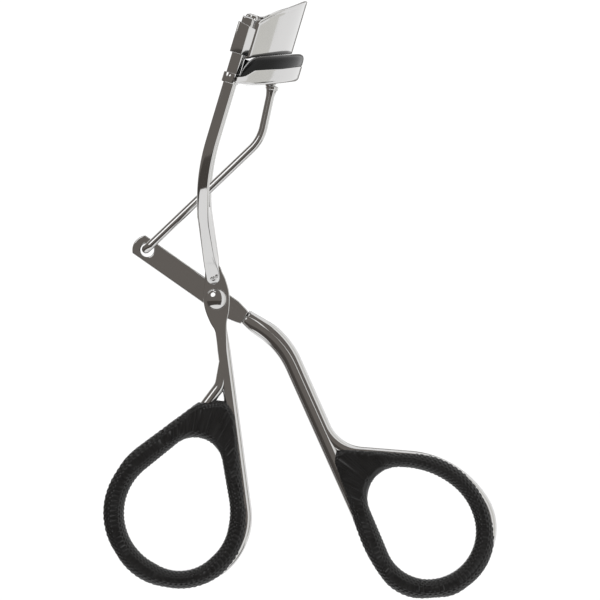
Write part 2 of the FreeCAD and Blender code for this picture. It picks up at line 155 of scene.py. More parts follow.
# ---------------------------------------------------------------- meshes

def mesh_object(name, verts, faces, material, body, nodes, weighted=True):
    """A smooth-shaded mesh that rides on a body and stands for CAD nodes."""
    mesh = bpy.data.meshes.new(name)
    mesh.from_pydata([tuple(v) for v in verts], [], faces)
    mesh.validate()
    mesh.update()
    obj = bpy.data.objects.new(name, mesh)
    bpy.context.scene.collection.objects.link(obj)
    mesh.materials.append(material)
    for polygon in mesh.polygons:
        polygon.use_smooth = True
    if weighted:
        weigh = obj.modifiers.new("weighted", "WEIGHTED_NORMAL")
        weigh.keep_sharp = True
        weigh.weight = 70
    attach(obj, body)
    if nodes:
        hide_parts(*nodes)
    return obj


def join_parts(parts):
    """Several (verts, faces) pairs as one."""
    verts, faces = [], []
    for part_verts, part_faces in parts:
        base = len(verts)
        verts += part_verts
        faces += [tuple(base + i for i in face) for face in part_faces]
    return verts, faces


def grid(rows, wrap=True, close_rows=False, caps=True):
    """Quads between rows of points. wrap closes each row; close_rows joins the last row to the first."""
    width = len(rows[0])
    verts = [point for row in rows for point in row]
    faces = []
    for i in range(len(rows) if close_rows else len(rows) - 1):
        below = i * width
        above = ((i + 1) % len(rows)) * width
        for j in range(width if wrap else width - 1):
            k = (j + 1) % width
            faces.append((below + j, below + k, above + k, above + j))
    if caps and wrap and not close_rows:
        last = (len(rows) - 1) * width
        faces.append(tuple(reversed(range(width))))
        faces.append(tuple(last + j for j in range(width)))
    return verts, faces


# A corner's rounding stays just under the half side, so that no two points of a section coincide.
ROUNDING_LIMIT = 0.97


def rounded_rect(half_a, half_b, rounding, per_corner=7):
    """Points (a, b) round a rectangle with rounded corners."""
    rounding = min(rounding, ROUNDING_LIMIT * half_a, ROUNDING_LIMIT * half_b)
    points = []
    for corner, (sign_a, sign_b) in enumerate(((1, 1), (-1, 1), (-1, -1), (1, -1))):
        for step in range(per_corner + 1):
            angle = math.pi / 2 * (corner + step / per_corner)
            a = sign_a * (half_a - rounding) + rounding * math.cos(angle)
            b = sign_b * (half_b - rounding) + rounding * math.sin(angle)
            points.append((a, b))
    return points


def bar(stations):
    """A bar through stations (centre, tangent, half width, half depth, rounding, twist); sizes in mm."""
    rows = []
    for centre, tangent, half_a, half_b, rounding, twist in stations:
        flat_side = Vector((tangent.z, 0, -tangent.x)).normalized()
        flat_deep = tangent.cross(flat_side).normalized()
        side = flat_side * math.cos(twist) - flat_deep * math.sin(twist)
        deep = flat_deep * math.cos(twist) + flat_side * math.sin(twist)
        rows.append([centre + side * (a * MM) + deep * (b * MM)
                     for a, b in rounded_rect(half_a, half_b, rounding)])
    return grid(rows)


def bar_along(points, sizes):
    """A bar along points in millimetres from the pivot; sizes(i) gives its section and twist there."""
    stations = []
    last = len(points) - 1
    for i, point in enumerate(points):
        tangent = (points[min(i + 1, last)] - points[max(i - 1, 0)]).normalized()
        stations.append((at(point.x, point.z, point.y), tangent, *sizes(i)))
    return bar(stations)


def plate(name, outline, holes, mid_y, thick, bevel):
    """A flat plate with round holes and rounded edges, as (verts, faces)."""
    curve = bpy.data.curves.new(name, "CURVE")
    curve.dimensions = "2D"
    curve.fill_mode = "BOTH"
    curve.extrude = (thick / 2 - bevel) * MM
    curve.bevel_depth = bevel * MM
    curve.bevel_resolution = 3
    curve.offset = -bevel * MM
    loops = [outline]
    for x, z, radius in holes:
        loops.append([(x + radius * math.cos(a * math.pi / 24), z - radius * math.sin(a * math.pi / 24))
                      for a in range(48)])
    for loop in loops:
        spline = curve.splines.new("POLY")
        spline.points.add(len(loop) - 1)
        for point, (x, z) in zip(spline.points, loop):
            point.co = (x * MM, z * MM, 0, 1)
        spline.use_cyclic_u = True
    holder = bpy.data.objects.new(name, curve)
    mesh = bpy.data.meshes.new_from_object(holder)
    verts = [Vector((PIVOT.x + v.co.x, mid_y * MM - v.co.z, PIVOT.z + v.co.y)) for v in mesh.vertices]
    faces = [tuple(polygon.vertices) for polygon in mesh.polygons]
    bpy.data.objects.remove(holder)
    bpy.data.curves.remove(curve)
    bpy.data.meshes.remove(mesh)
    return verts, faces


def lathe(base, axis, profile, count=48):
    """A turned shape: profile is (radius, distance along the axis) in millimetres."""
    axis = axis.normalized()
    side = axis.orthogonal().normalized()
    other = axis.cross(side)
    rows = []
    for radius, along in profile:
        radius = max(radius, 0.001)
        rows.append([base + axis * (along * MM) + (side * math.cos(2 * math.pi * k / count)
                     + other * math.sin(2 * math.pi * k / count)) * (radius * MM) for k in range(count)])
    return grid(rows)


# ---------------------------------------------------------------- materials

def new_material(name):
    material = bpy.data.materials.new(name)
    material.use_nodes = True
    nodes = material.node_tree.nodes
    return material, nodes, material.node_tree.links, nodes["Principled BSDF"]


def noise(nodes, links, coords, scale, detail, stretch=None):
    """A noise texture in object space, with its frequency in cycles per metre."""
    texture = nodes.new("ShaderNodeTexNoise")
    texture.inputs["Scale"].default_value = scale
    texture.inputs["Detail"].default_value = detail
    source = coords.outputs["Object"]
    if stretch:
        mapping = nodes.new("ShaderNodeMapping")
        mapping.inputs["Scale"].default_value = stretch
        links.new(source, mapping.inputs["Vector"])
        source = mapping.outputs["Vector"]
    links.new(source, texture.inputs["Vector"])
    return texture


def value_range(nodes, links, source, low, high):
    """A number from a texture, mapped to a range."""
    mapped = nodes.new("ShaderNodeMapRange")
    mapped.inputs["From Min"].default_value = 0.3
    mapped.inputs["From Max"].default_value = 0.7
    mapped.inputs["To Min"].default_value = low
    mapped.inputs["To Max"].default_value = high
    links.new(source, mapped.inputs["Value"])
    return mapped.outputs["Result"]


def bump(nodes, links, height, strength, distance):
    node = nodes.new("ShaderNodeBump")
    node.inputs["Strength"].default_value = strength
    node.inputs["Distance"].default_value = distance
    links.new(height, node.inputs["Height"])
    return node.outputs["Normal"]


def chrome_material():
    """Nickel-chrome plate: bright, with faint handling haze, fine rub marks and slow plating waves."""
    material, nodes, links, shader = new_material("chrome_plate")
    coords = nodes.new("ShaderNodeTexCoord")
    shader.inputs["Metallic"].default_value = 1.0
    haze = noise(nodes, links, coords, 260, 4)
    links.new(value_range(nodes, links, haze.outputs["Fac"], 0.045, 0.13), shader.inputs["Roughness"])
    tint = nodes.new("ShaderNodeMix")
    tint.data_type = "RGBA"
    tint.inputs["A"].default_value = (0.622, 0.616, 0.609, 1)
    tint.inputs["B"].default_value = (0.600, 0.597, 0.595, 1)
    links.new(haze.outputs["Fac"], tint.inputs["Factor"])
    links.new(tint.outputs["Result"], shader.inputs["Base Color"])
    rubs = noise(nodes, links, coords, 900, 3, (1.0, 1.0, 0.12))
    links.new(bump(nodes, links, rubs.outputs["Fac"], 0.05, 0.00002), shader.inputs["Normal"])
    return material


def rubber_material(name, dark, light, rough_low, rough_high, grain_scale, grain_depth, shine):
    """Black rubber with slightly uneven colour, sheen and a fine grain."""
    material, nodes, links, shader = new_material(name)
    coords = nodes.new("ShaderNodeTexCoord")
    shader.inputs["Specular IOR Level"].default_value = shine
    mottle = noise(nodes, links, coords, 420, 5)
    colour = nodes.new("ShaderNodeMix")
    colour.data_type = "RGBA"
    colour.inputs["A"].default_value = (*dark, 1)
    colour.inputs["B"].default_value = (*light, 1)
    links.new(mottle.outputs["Fac"], colour.inputs["Factor"])
    links.new(colour.outputs["Result"], shader.inputs["Base Color"])
    links.new(value_range(nodes, links, mottle.outputs["Fac"], rough_low, rough_high),
              shader.inputs["Roughness"])
    grain = noise(nodes, links, coords, grain_scale, 4)
    links.new(bump(nodes, links, grain.outputs["Fac"], 0.5, grain_depth), shader.inputs["Normal"])
    return material


CHROME = chrome_material()
GRIP = rubber_material("grip_rubber", (0.004, 0.004, 0.0043), (0.009, 0.009, 0.0095), 0.26, 0.4,
                       5200, 0.00003, 0.6)
PAD = rubber_material("pad_silicone", (0.003, 0.003, 0.0033), (0.006, 0.006, 0.0064), 0.18, 0.28,
                      2600, 0.00001, 0.22)


# ---------------------------------------------------------------- handles

FIXED_LOOP = [(5.5, -40.8), (1.1, -51.5), (-15.5, -49.6), (-18.7, -41.4), (-18.1, -31.3), (-2.9, -20.4),
              (0.7, -15.6), (1.55, -10.8)]
FIXED_LOOP_RADII = [11.0, 10.8, 10.2, 10.2, 12.5, 5.2, 3.0]
# The lever's wire comes back beside its own start, so the two runs touch up to the flat.
LEVER_LOOP = [(12.0, -8.3), (28.95, -46.2), (32.9, -53.5), (44.9, -51.6), (50.9, -41.0), (43.0, -29.35),
              (21.3, -27.6), (12.45, -7.55), (5.5, -2.8)]
LEVER_LOOP_RADII = [15.7, 10.4, 9.6, 9.7, 9.1, 16.8, 8.0, 15.0]
LEVER_ROD_START = (4.9, -3.44)
FIXED_ROD_R = 1.2
LEVER_NECK_R = 0.95
LEVER_ROD_R = 1.4
# A wire's radius drops by RETURN_THINNER past half its length, and the lever's by RETURN_TIP_THINNER more
# at its end, each over THINNING_STEPS steps of the path.
RETURN_THINNER = 0.15
RETURN_TIP_THINNER = 0.4
THINNING_STEPS = 10

# The fixed handle's flattened stretch: z, x, half width, half depth and edge rounding
FIXED_FLAT = [(6.3, -0.65, 0.9, 0.6, 0.2), (5.6, -0.6, 1.35, 0.6, 0.2), (4.4, -0.45, 1.62, 0.6, 0.2),
              (3.0, -0.16, 1.95, 0.6, 0.2), (1.2, -0.02, 2.31, 0.6, 0.2), (-0.6, 0.06, 2.34, 0.6, 0.2),
              (-2.4, 0.24, 2.06, 0.6, 0.2), (-3.9, 0.42, 1.6, 0.6, 0.2), (-5.4, 0.78, 1.12, 0.66, 0.25),
              (-7.2, 1.08, 1.12, 0.9, 0.7), (-9.4, 1.37, 1.2, 1.18, 1.15), (-12.0, 1.71, 1.2, 1.2, 1.2)]


def xz_path(points, radii, y, step=0.5):
    return rounded_path([(x, y, z) for x, z in points], radii, False, step)


def make_fixed_handle():
    flat = smooth_through(FIXED_FLAT, 5)
    last_z, last_x = FIXED_FLAT[-1][:2]
    rod = xz_path([(last_x, last_z)] + FIXED_LOOP, FIXED_LOOP_RADII, 0)
    points = [Vector((x, 0, z)) for z, x, *_ in flat] + rod[1:]
    sections = [row[2:] for row in flat] + [[FIXED_ROD_R] * 3] * (len(rod) - 1)
    half = len(points) // 2

    def sizes(i):
        a, b, r = sections[i]
        thinner = RETURN_THINNER * min(1, max(0, (i - half) / THINNING_STEPS))
        return a - thinner, b - thinner if b > 1 else b, r - thinner if r > 1 else r, 0

    verts, faces = bar_along(points, sizes)
    mesh_object("fixed_handle_wire", verts, faces, CHROME, "frame", ["fixed_handle"])


LEVER_ANGLE = math.radians(144.9)
LEVER_HOLE = 15.25
LEVER_HOLE_R = 1.22
LEVER_HALF_WIDTH = 2.0
LEVER_END_R = 2.7
LEVER_THICK = 1.2
LEVER_EDGE_ROUND = 0.22


def lever_point(along, aside):
    """A point of the lever's flat, from the pivot towards its hole and square to that."""
    x = along * math.cos(LEVER_ANGLE) + aside * math.sin(LEVER_ANGLE)
    z = along * math.sin(LEVER_ANGLE) - aside * math.cos(LEVER_ANGLE)
    return x, z


def make_lever_handle():
    outline = [lever_point(-6.1, 1.35), lever_point(-5.6, 1.55), lever_point(-3.5, 1.95)]
    end_angle = math.asin(LEVER_HALF_WIDTH / LEVER_END_R)
    for k in range(13):
        angle = end_angle * (1 - k / 6)
        along = LEVER_HOLE + LEVER_END_R * math.cos(angle)
        outline.append(lever_point(along, LEVER_END_R * math.sin(angle)))
    outline += [lever_point(-1.5, -LEVER_HALF_WIDTH), lever_point(-3.6, -1.85), lever_point(-5.2, -1.5),
                lever_point(-6.2, -1.2)]
    hole = (*lever_point(LEVER_HOLE, 0), LEVER_HOLE_R)
    flat = plate("lever_flat", outline, [hole], LEVER_MID_Y, LEVER_THICK, LEVER_EDGE_ROUND)
    path = xz_path([LEVER_ROD_START] + LEVER_LOOP, LEVER_LOOP_RADII, LEVER_MID_Y)
    last = len(path) - 1
    half = last // 2

    def sizes(i):
        swell = min(1, i / 6)
        radius = LEVER_NECK_R + (LEVER_ROD_R - LEVER_NECK_R) * math.sin(swell * math.pi / 2)
        radius -= RETURN_THINNER * min(1, max(0, (i - half) / THINNING_STEPS))
        radius -= RETURN_TIP_THINNER * min(1, max(0, (i - last + THINNING_STEPS) / THINNING_STEPS))
        return radius, radius, radius, 0

    rod = bar_along(path, sizes)
    verts, faces = join_parts([flat, rod])
    mesh_object("lever_handle_wire", verts, faces, CHROME, "lever", ["lever_handle"])


# ---------------------------------------------------------------- grips

FIXED_GRIP = {
    "outer": [(-3.4, -18.7), (3.0, -18.0), (6.0, -41.6), (0.6, -53.5), (-15.0, -51.0), (-22.6, -38.5),
              (-16.3, -28.3)],
    "outer_radii": [0.9, 3.1, 13.8, 11.9, 11.3, 12.8, 14.2],
    "inner": [(-0.4, -20.6), (2.7, -38.6), (1.5, -44.4), (-5.5, -50.9), (-24.6, -40.2)],
    "inner_radii": [5.1, 13.4, 9.0, 7.9, 10.2],
    "centre": (-6.4, -37.5), "y": 0.0, "body": "frame", "node": "fixed_handle_grip"}
LEVER_GRIP = {
    "outer": [(20.1, -26.8), (39.7, -28.1), (48.4, -33.7), (51.5, -47.3), (42.9, -53.7), (32.8, -54.4),
              (27.0, -46.5)],
    "outer_radii": [1.9, 14.7, 15.5, 11.3, 7.0, 8.8, 30.0],
    "inner": [(24.4, -30.4), (38.3, -30.3), (45.6, -36.1), (49.0, -49.6), (33.2, -51.3)],
    "inner_radii": [5.6, 15.4, 11.3, 8.7, 7.9],
    "centre": (37.5, -40.5), "y": LEVER_MID_Y, "body": "lever", "node": "lever_handle_grip"}
GRIP_HALF_THICK = 1.75
GRAIN_LENGTH = 0.9
GRAIN_WIDTH = 0.45
GRAIN_HEIGHT = 0.17
GRIP_STEPS = 900


def ray_hit(path, centre, angle):
    """Where a ray from the centre crosses a closed outline."""
    direction = (math.cos(angle), math.sin(angle))
    best = None
    for i in range(len(path)):
        ax, az = path[i].x - centre[0], path[i].z - centre[1]
        bx, bz = path[i - 1].x - centre[0], path[i - 1].z - centre[1]
        cross_a = direction[0] * az - direction[1] * ax
        cross_b = direction[0] * bz - direction[1] * bx
        if cross_a * cross_b > 0 or cross_a == cross_b:
            continue
        share = cross_a / (cross_a - cross_b)
        x, z = ax + (bx - ax) * share, az + (bz - az) * share
        if x * direction[0] + z * direction[1] > 0:
            best = Vector((centre[0] + x, 0, centre[1] + z))
    return best


def make_grip(name, shape):
    """A rubber ring with a knitted relief: rows of long grains, each row set off by half a grain."""
    closed = {}
    for kind in ("outer", "inner"):
        points = [(x, 0, z) for x, z in shape[kind]]
        closed[kind] = rounded_path(points, shape[kind + "_radii"], True, 0.3)
    rays = []
    travelled = 0
    for i in range(GRIP_STEPS):
        angle = 2 * math.pi * i / GRIP_STEPS
        outer = ray_hit(closed["outer"], shape["centre"], angle)
        inner = ray_hit(closed["inner"], shape["centre"], angle)
        middle = inner + (outer - inner) * 0.5
        if rays:
            travelled += (middle - rays[-1][2]).length
        rays.append((outer, inner, middle, travelled))
    total = travelled + (rays[0][2] - rays[-1][2]).length
    grains = round(total / GRAIN_LENGTH)
    rows = []
    for outer, inner, middle, travelled in rays:
        width = (outer - inner).length
        out_dir = (outer - inner).normalized()
        section = rounded_rect(width / 2, GRIP_HALF_THICK, 1.35, 17)
        around = [0.0]
        for k in range(1, len(section)):
            around.append(around[-1] + math.dist(section[k], section[k - 1]))
        row = []
        for k, (a, b) in enumerate(section):
            band = around[k] / GRAIN_WIDTH
            shift = 0.5 * (math.floor(band) % 2)
            along = travelled / total * grains + shift
            hill = abs(math.sin(math.pi * along)) * abs(math.sin(math.pi * band))
            lift = GRAIN_HEIGHT * (hill ** 0.7 - 0.6)
            normal = Vector((a / (width / 2), b / GRIP_HALF_THICK, 0)).normalized()
            point = middle + out_dir * (a + normal.x * lift)
            row.append(at(point.x, point.z, shape["y"] + b + normal.y * lift))
        rows.append(row)
    verts, faces = grid(rows, wrap=True, close_rows=True, caps=False)
    mesh_object(name, verts, faces, GRIP, shape["body"], [shape["node"]], weighted=False)


# ---------------------------------------------------------------- guide arms and rivet

ARM_TOP_H = 8.65
ARM_BEND = (-2.81, 21.26)
ARM_TWIST = math.radians(32)
FRONT_TOE = (-0.45, -0.2, 3.0)
REAR_TOE = (-0.65, 1.15, 5.05)
REAR_FOOT_BEND = (-0.72, 1.15, 6.6)
PLATE_SKIN = 0.55
TOE_ROUND = 1.5
KNEE_R = 4.0
ARM_BEND_R = 18.7
# Half width, half depth and edge rounding of an arm's foot and of the arm above it
FOOT_SECTION = (1.22, 0.7, 0.2)
ARM_SECTION = (1.1, 1.1, 0.6)


def dimple(centre, normal, size):
    """A round spot-weld mark, as (verts, faces)."""
    profile = [(0.92, -0.2), (0.88, 0.06), (0.74, 0.24), (0.62, 0.24), (0.5, 0.06), (0.38, 0.03),
               (0.26, 0.14), (0.12, 0.22), (0.0, 0.23)]
    return lathe(centre, normal, [(radius * size, along * size) for radius, along in profile], 32)


def make_arm(name, side, toe, knees, node):
    """A guide arm from its toe on the plate, past its bends, to the peened knob on top."""
    top = (head(0, ARM_TOP_H) - PIVOT) / MM
    corners = [toe] + knees + [(ARM_BEND[0], side * ARM_SPREAD, ARM_BEND[1]),
                               (top.x, side * ARM_SPREAD, top.z)]
    path = rounded_path(corners, [KNEE_R] * len(knees) + [ARM_BEND_R], False, 0.4)
    lengths = [0.0]
    for k in range(1, len(path)):
        lengths.append(lengths[-1] + (path[k] - path[k - 1]).length)

    def sizes(i):
        ease = eased((lengths[i] - 2.3) / 13.0)
        round_toe = math.sqrt(max(0.03, 1 - max(0, 1 - lengths[i] / TOE_ROUND) ** 2))
        twist = 0 if knees else ARM_TWIST * eased((lengths[i] - 1.5) / 6) * eased((20 - lengths[i]) / 6)
        pairs = zip(FOOT_SECTION, ARM_SECTION)
        half_a, half_b, rounding = [foot + (arm - foot) * ease for foot, arm in pairs]
        return half_a * round_toe, half_b, rounding, twist

    verts, faces = bar_along(path, sizes)
    for vert in verts:
        vert.y = side * max(side * vert.y, PLATE_SKIN * MM)
    parts = [(verts, faces)]
    if not knees:
        start = (path[1] - path[0]).normalized()
        slope = Vector((start.z, 0, -start.x)).normalized().cross(start)
        mark = at(*toe[::2], toe[1]) + start * (1.45 * MM) + slope * (0.68 * MM)
        parts.append(dimple(mark, slope, 0.62))
        parts.append(dimple(mark + (start * 0.75 + ACROSS_DIR * 0.75) * MM, slope, 0.3))
    knob = []
    for lift, scale in ((-0.6, 0.6), (-0.45, 0.86), (-0.2, 0.98), (0.1, 1.0), (0.35, 0.95), (0.55, 0.8),
                        (0.66, 0.5), (0.68, 0.2)):
        knob.append([head(0.5 + a, ARM_TOP_H + lift, side * ARM_SPREAD + b)
                     for a, b in rounded_rect(1.12 * scale, 1.02 * scale, 0.5 * scale)])
    parts.append(grid(knob))
    parts.append(bead(side, 0.3, ARM_TOP_H + 0.25, 0.95, 0.2))
    parts.append(bead(side, 1.0, ARM_TOP_H - 0.1, 0.95, 0.24))
    mesh_object(name, *join_parts(parts), CHROME, "frame", [node])


RIVET_HEAD_R = 1.93
RIVET_HEAD_HEIGHT = 0.8
RUNNING_CLEARANCE = 0.05


def make_rivet():
    """The rivet's two domed heads, one on the plate and one behind the lever."""
    ball = (RIVET_HEAD_R ** 2 + RIVET_HEAD_HEIGHT ** 2) / (2 * RIVET_HEAD_HEIGHT)
    profile = [(RIVET_HEAD_R - 0.05, 0.0), (RIVET_HEAD_R, 0.06), (RIVET_HEAD_R - 0.04, 0.14)]
    edge = math.asin((RIVET_HEAD_R - 0.1) / ball)
    for k in range(13):
        angle = edge * (1 - k / 12)
        profile.append((ball * math.sin(angle), RIVET_HEAD_HEIGHT - ball * (1 - math.cos(angle))))
    front = at(0, 0, -PLATE_HALF)
    back = at(0, 0, LEVER_MID_Y + LEVER_THICK / 2 + RUNNING_CLEARANCE)
    parts = [lathe(base, direction, profile, 64) for base, direction in ((front, -Y_DIR), (back, Y_DIR))]
    verts, faces = join_parts(parts)
    mesh_object("pivot_rivet_heads", verts, faces, CHROME, "frame", ["pivot_rivet"])


# ---------------------------------------------------------------- jaws

def arc_point(angle, radius, h, drop_q=None):
    """A point on the jaws' arc. With drop_q, its height is set by that distance from the tilted plane."""
    s = JAW_ARC_APEX_S - JAW_ARC_R + radius * math.cos(angle)
    y = radius * math.sin(angle)
    if drop_q is not None:
        h = (drop_q + s * math.sin(JAW_TILT)) / math.cos(JAW_TILT)
    return head(s, h, y)


# The upper jaw's top edge as (s, h), and its corners in plan between an arm and the arc, as (s, y)
UPPER_TOP = [(1.0, 8.2), (2.3, 8.8), (3.53, 10.05), (4.99, 11.3), (6.54, 12.3), (8.04, 13.45),
             (9.15, 14.4)]
UPPER_TAB = [(1.1, 14.1), (1.6, 14.02), (2.05, 13.92)]
UPPER_ARC_END = math.radians(53)
UPPER_ARC_STEPS = 96
UPPER_OUTER = JAW_ARC_R + 0.3
UPPER_SHEET = 0.7
HEM_DEPTH = 0.62
# How high the pad's crown reaches under the upper jaw's edge, as (s, height over the tilted plane)
PAD_TOP = [(1.4, 0.52), (4.0, 0.48), (8.9, 0.02), (11.7, -0.05)]
EDGE_GAP = 0.1
PAD_ROOT_Q = -4.2


def upper_plan():
    """The sheet's outer face in plan as (s, y, inward s, inward y, groove depth), from arm to arm."""
    centre = JAW_ARC_APEX_S - JAW_ARC_R
    plan = []
    for k in range(UPPER_ARC_STEPS + 1):
        angle = UPPER_ARC_END * (2 * k / UPPER_ARC_STEPS - 1)
        groove = min(1, max(0, (abs(angle) - math.radians(20)) / math.radians(10)))
        plan.append((centre + UPPER_OUTER * math.cos(angle), UPPER_OUTER * math.sin(angle),
                     -math.cos(angle), -math.sin(angle), groove))
    lean = math.hypot(1.2, 0.25)
    near = [(s, -y, -0.25 / lean, 1.2 / lean, 0) for s, y in UPPER_TAB]
    far = [(s, y, -0.25 / lean, -1.2 / lean, 0) for s, y in reversed(UPPER_TAB)]
    return near + plan + far


def make_upper_jaw():
    rows = []
    for s, y, in_s, in_y, groove in upper_plan():
        low = (along_line(PAD_TOP, s) + EDGE_GAP + s * math.sin(JAW_TILT)) / math.cos(JAW_TILT)
        top = along_line(UPPER_TOP, s)
        line = top - HEM_DEPTH
        profile = [(0.12, low), (0.04, low + 0.03), (0, low + 0.12)]
        profile += [(0, low + (line - 0.3 - low) * share) for share in (0.03, 0.3, 0.6, 0.97)]
        profile += [(0, line - 0.1), (0.14 * groove, line), (0, line + 0.1), (0, top - 0.06), (0.05, top)]
        profile += [(UPPER_SHEET - 0.12, top), (UPPER_SHEET, top - 0.12)]
        profile += [(UPPER_SHEET, low + (top - 0.5 - low) * share) for share in (0.8, 0.6, 0.3, 0.03)]
        profile += [(UPPER_SHEET, low + 0.12), (UPPER_SHEET - 0.04, low + 0.03), (UPPER_SHEET - 0.12, low)]
        rows.append([head(s + in_s * depth, h, y + in_y * depth) for depth, h in profile])
    parts = [grid(rows)]
    for side in (-1, 1):
        parts.append(jaw_sleeve(side))
        parts.append(hem_corner(side))
    mesh_object("upper_jaw_plate", *join_parts(parts), CHROME, "frame", ["upper_jaw"])


def jaw_sleeve(side):
    """The folded sleeve by which the upper jaw holds an arm: bevelled on the jaw's side, oblique on top."""
    plan = [(-1.55, 16.5), (0.6, 16.5), (1.78, 14.8), (1.78, 13.45), (-1.55, 13.45)]
    outline = rounded_path([(s, side * y, 0) for s, y in plan], [0.3, 0.2, 0.2, 0.1, 0.3], True, 0.08)
    middle = Vector((0.1, side * 15, 0))
    rows = []
    for inset, lift in ((0.1, 0), (0.03, 0.03), (0, 0.1), (0, 0.9), (0.03, 0.97), (0.1, 1.0), (0.35, 1.0),
                        (0.4, 0.9)):
        row = []
        for point in outline:
            inward = (middle - point).normalized() * inset
            s, y = point.x + inward.x, point.y + inward.y
            low, high = 1.85, 7.2 - 0.2 * s
            h = low + lift if lift < 0.5 else high - (1 - lift)
            row.append(head(s, h, y))
        rows.append(row)
    return grid(rows)


def hem_corner(side):
    """The folded end of the hem, between the knob of an arm and the top edge. Its shape is a guess."""
    front = [(1.2, 8.65), (1.2, 9.3), (1.9, 9.3), (2.6, 9.6), (3.6, 10.4), (3.1, 9.75), (2.3, 9.05)]
    rows = []
    for depth in (0.0, 0.7):
        rows.append([head(s, h, side * (13.95 - 0.3 * (s - 1.2) - depth)) for s, h in front])
    return grid(rows)


def arm_ring(side, low, high, walls, clearance=0.05):
    """A collar round an arm's straight stretch, with its bore; walls are towards -s, +s and y."""
    corner = 0.75
    left, right, front = walls
    steps = [(1, low + 0.12), (1, high - 0.12), (0.9, high - 0.03), (0.7, high), (0, high), (0, low),
             (0.7, low), (0.9, low + 0.03)]
    rows = []
    for share, h in steps:
        half_a = 1.1 + clearance + share * (left + right) / 2
        half_b = 1.1 + clearance + share * front
        shift = share * (right - left) / 2
        rows.append([head(a + shift, h, side * ARM_SPREAD + b)
                     for a, b in rounded_rect(half_a, half_b, corner + 0.35 * share)])
    return grid(rows, wrap=True, close_rows=True, caps=False)


def bead(side, s, h, out, radius):
    """A small flat-topped bead of weld or peened metal, this far out from an arm's middle."""
    facing = Vector((-0.27, side * 0.93, 0.26)).normalized()
    profile = [(1.1, -1.0), (1.08, 0.08), (1.0, 0.2), (0.8, 0.25), (0.0, 0.28)]
    return lathe(head(s, h, side * (ARM_SPREAD + out)), facing,
                 [(size * radius, along * radius) for size, along in profile], 24)


def end_tab():
    """An upright tab at the far end of the trough, beside the far arm. It is a guess."""
    rows = []
    for h in (-3.0, 1.3):
        rows.append([head(s, h, y) for s, y in ((1.18, 12.2), (2.1, 13.8), (1.9, 13.9), (1.18, 12.7))])
    return grid(rows)


TROUGH_END_S = 1.4
WALL_END_S = 0.95
TROUGH_RIM_Q = -2.3
TROUGH_HALF = 2.725
TROUGH_SHEET = 0.4
TROUGH_FOLD = 0.5
JAW_STEPS = 160
# Broken lines along the jaws, as (s, height over the tilted plane)
TROUGH_RIM = [(1.0, -2.45), (2.2, -2.5), (3.8, -1.75), (6.2, -2.0), (8.3, -2.25), (11.8, -2.35)]
TROUGH_BOTTOM = [(1.0, -3.45), (2.9, -3.9), (4.3, -4.25), (6.2, -4.5), (9.0, -4.7), (11.8, -4.85)]


def end_angle(radius, s):
    """The half angle at which an arc of this radius meets the plane at s."""
    return math.acos((s + JAW_ARC_R - JAW_ARC_APEX_S) / radius)


def make_lower_jaw():
    """The trough, with its collars round the arms."""
    half, sheet, rim, fold = TROUGH_HALF, TROUGH_SHEET, TROUGH_RIM_Q, TROUGH_FOLD
    rows = []
    for k in range(JAW_STEPS + 1):
        share = 2 * k / JAW_STEPS - 1
        wall = JAW_ARC_R + half
        wall_s = JAW_ARC_APEX_S - JAW_ARC_R + wall * math.cos(end_angle(wall, WALL_END_S) * share)
        top = along_line(TROUGH_RIM, wall_s)
        bottom = along_line(TROUGH_BOTTOM, wall_s)
        profile = [(half, top - 0.1), (half, top - 0.3), (half, (top + bottom) / 2), (half, bottom + fold)]
        for step in range(1, 6):
            turn = math.pi / 2 * step / 5
            profile.append((half - fold + fold * math.cos(turn), bottom + fold - fold * math.sin(turn)))
        profile += [(half - fold - 0.3, bottom), (0, bottom), (-half + fold + 0.3, bottom)]
        for step in range(0, 6):
            turn = math.pi / 2 * step / 5
            profile.append((-half + fold - fold * math.sin(turn), bottom + fold - fold * math.cos(turn)))
        profile += [(-half, (rim + bottom) / 2), (-half, rim - 0.6), (-half, rim - 0.1),
                    (-half + 0.12, rim), (-half + sheet - 0.12, rim), (-half + sheet, rim - 0.1),
                    (-half + sheet, bottom + sheet + 0.1), (-half + sheet + 0.1, bottom + sheet),
                    (half - sheet - 0.1, bottom + sheet), (half - sheet, bottom + sheet + 0.1),
                    (half - sheet, top - 0.1), (half - sheet + 0.12, top), (half - 0.12, top)]
        for_wall = [WALL_END_S if out > half - sheet - 0.2 else TROUGH_END_S for out, _ in profile]
        rows.append([arc_point(end_angle(JAW_ARC_R + out, end_s) * share, JAW_ARC_R + out, 0, q)
                     for (out, q), end_s in zip(profile, for_wall)])
    parts = [grid(rows)]
    for side in (-1, 1):
        parts.append(arm_ring(side, -3.6, -1.75, (0.37, 0.15, 0.37)))
        parts.append(bead(side, -0.3, -2.25, 1.47, 0.25))
    parts.append(end_tab())
    mesh_object("lower_jaw_trough", *join_parts(parts), CHROME, "jaw", ["lower_jaw"])


def settled(q, rim, lower, floor_q, sink):
    """A height on the pad's section once its crown is lowered and its end sunk."""
    if q > rim:
        q -= (q - rim) * lower
    return floor_q + (q - floor_q) * sink if q > floor_q else q


PAD_HALF = 2.66
PAD_ROOT_HALF = 2.3
PAD_FLOOR_Q = -3.3
PAD_ABOVE_BOTTOM = 0.45
PAD_SINK_FROM = 0.86


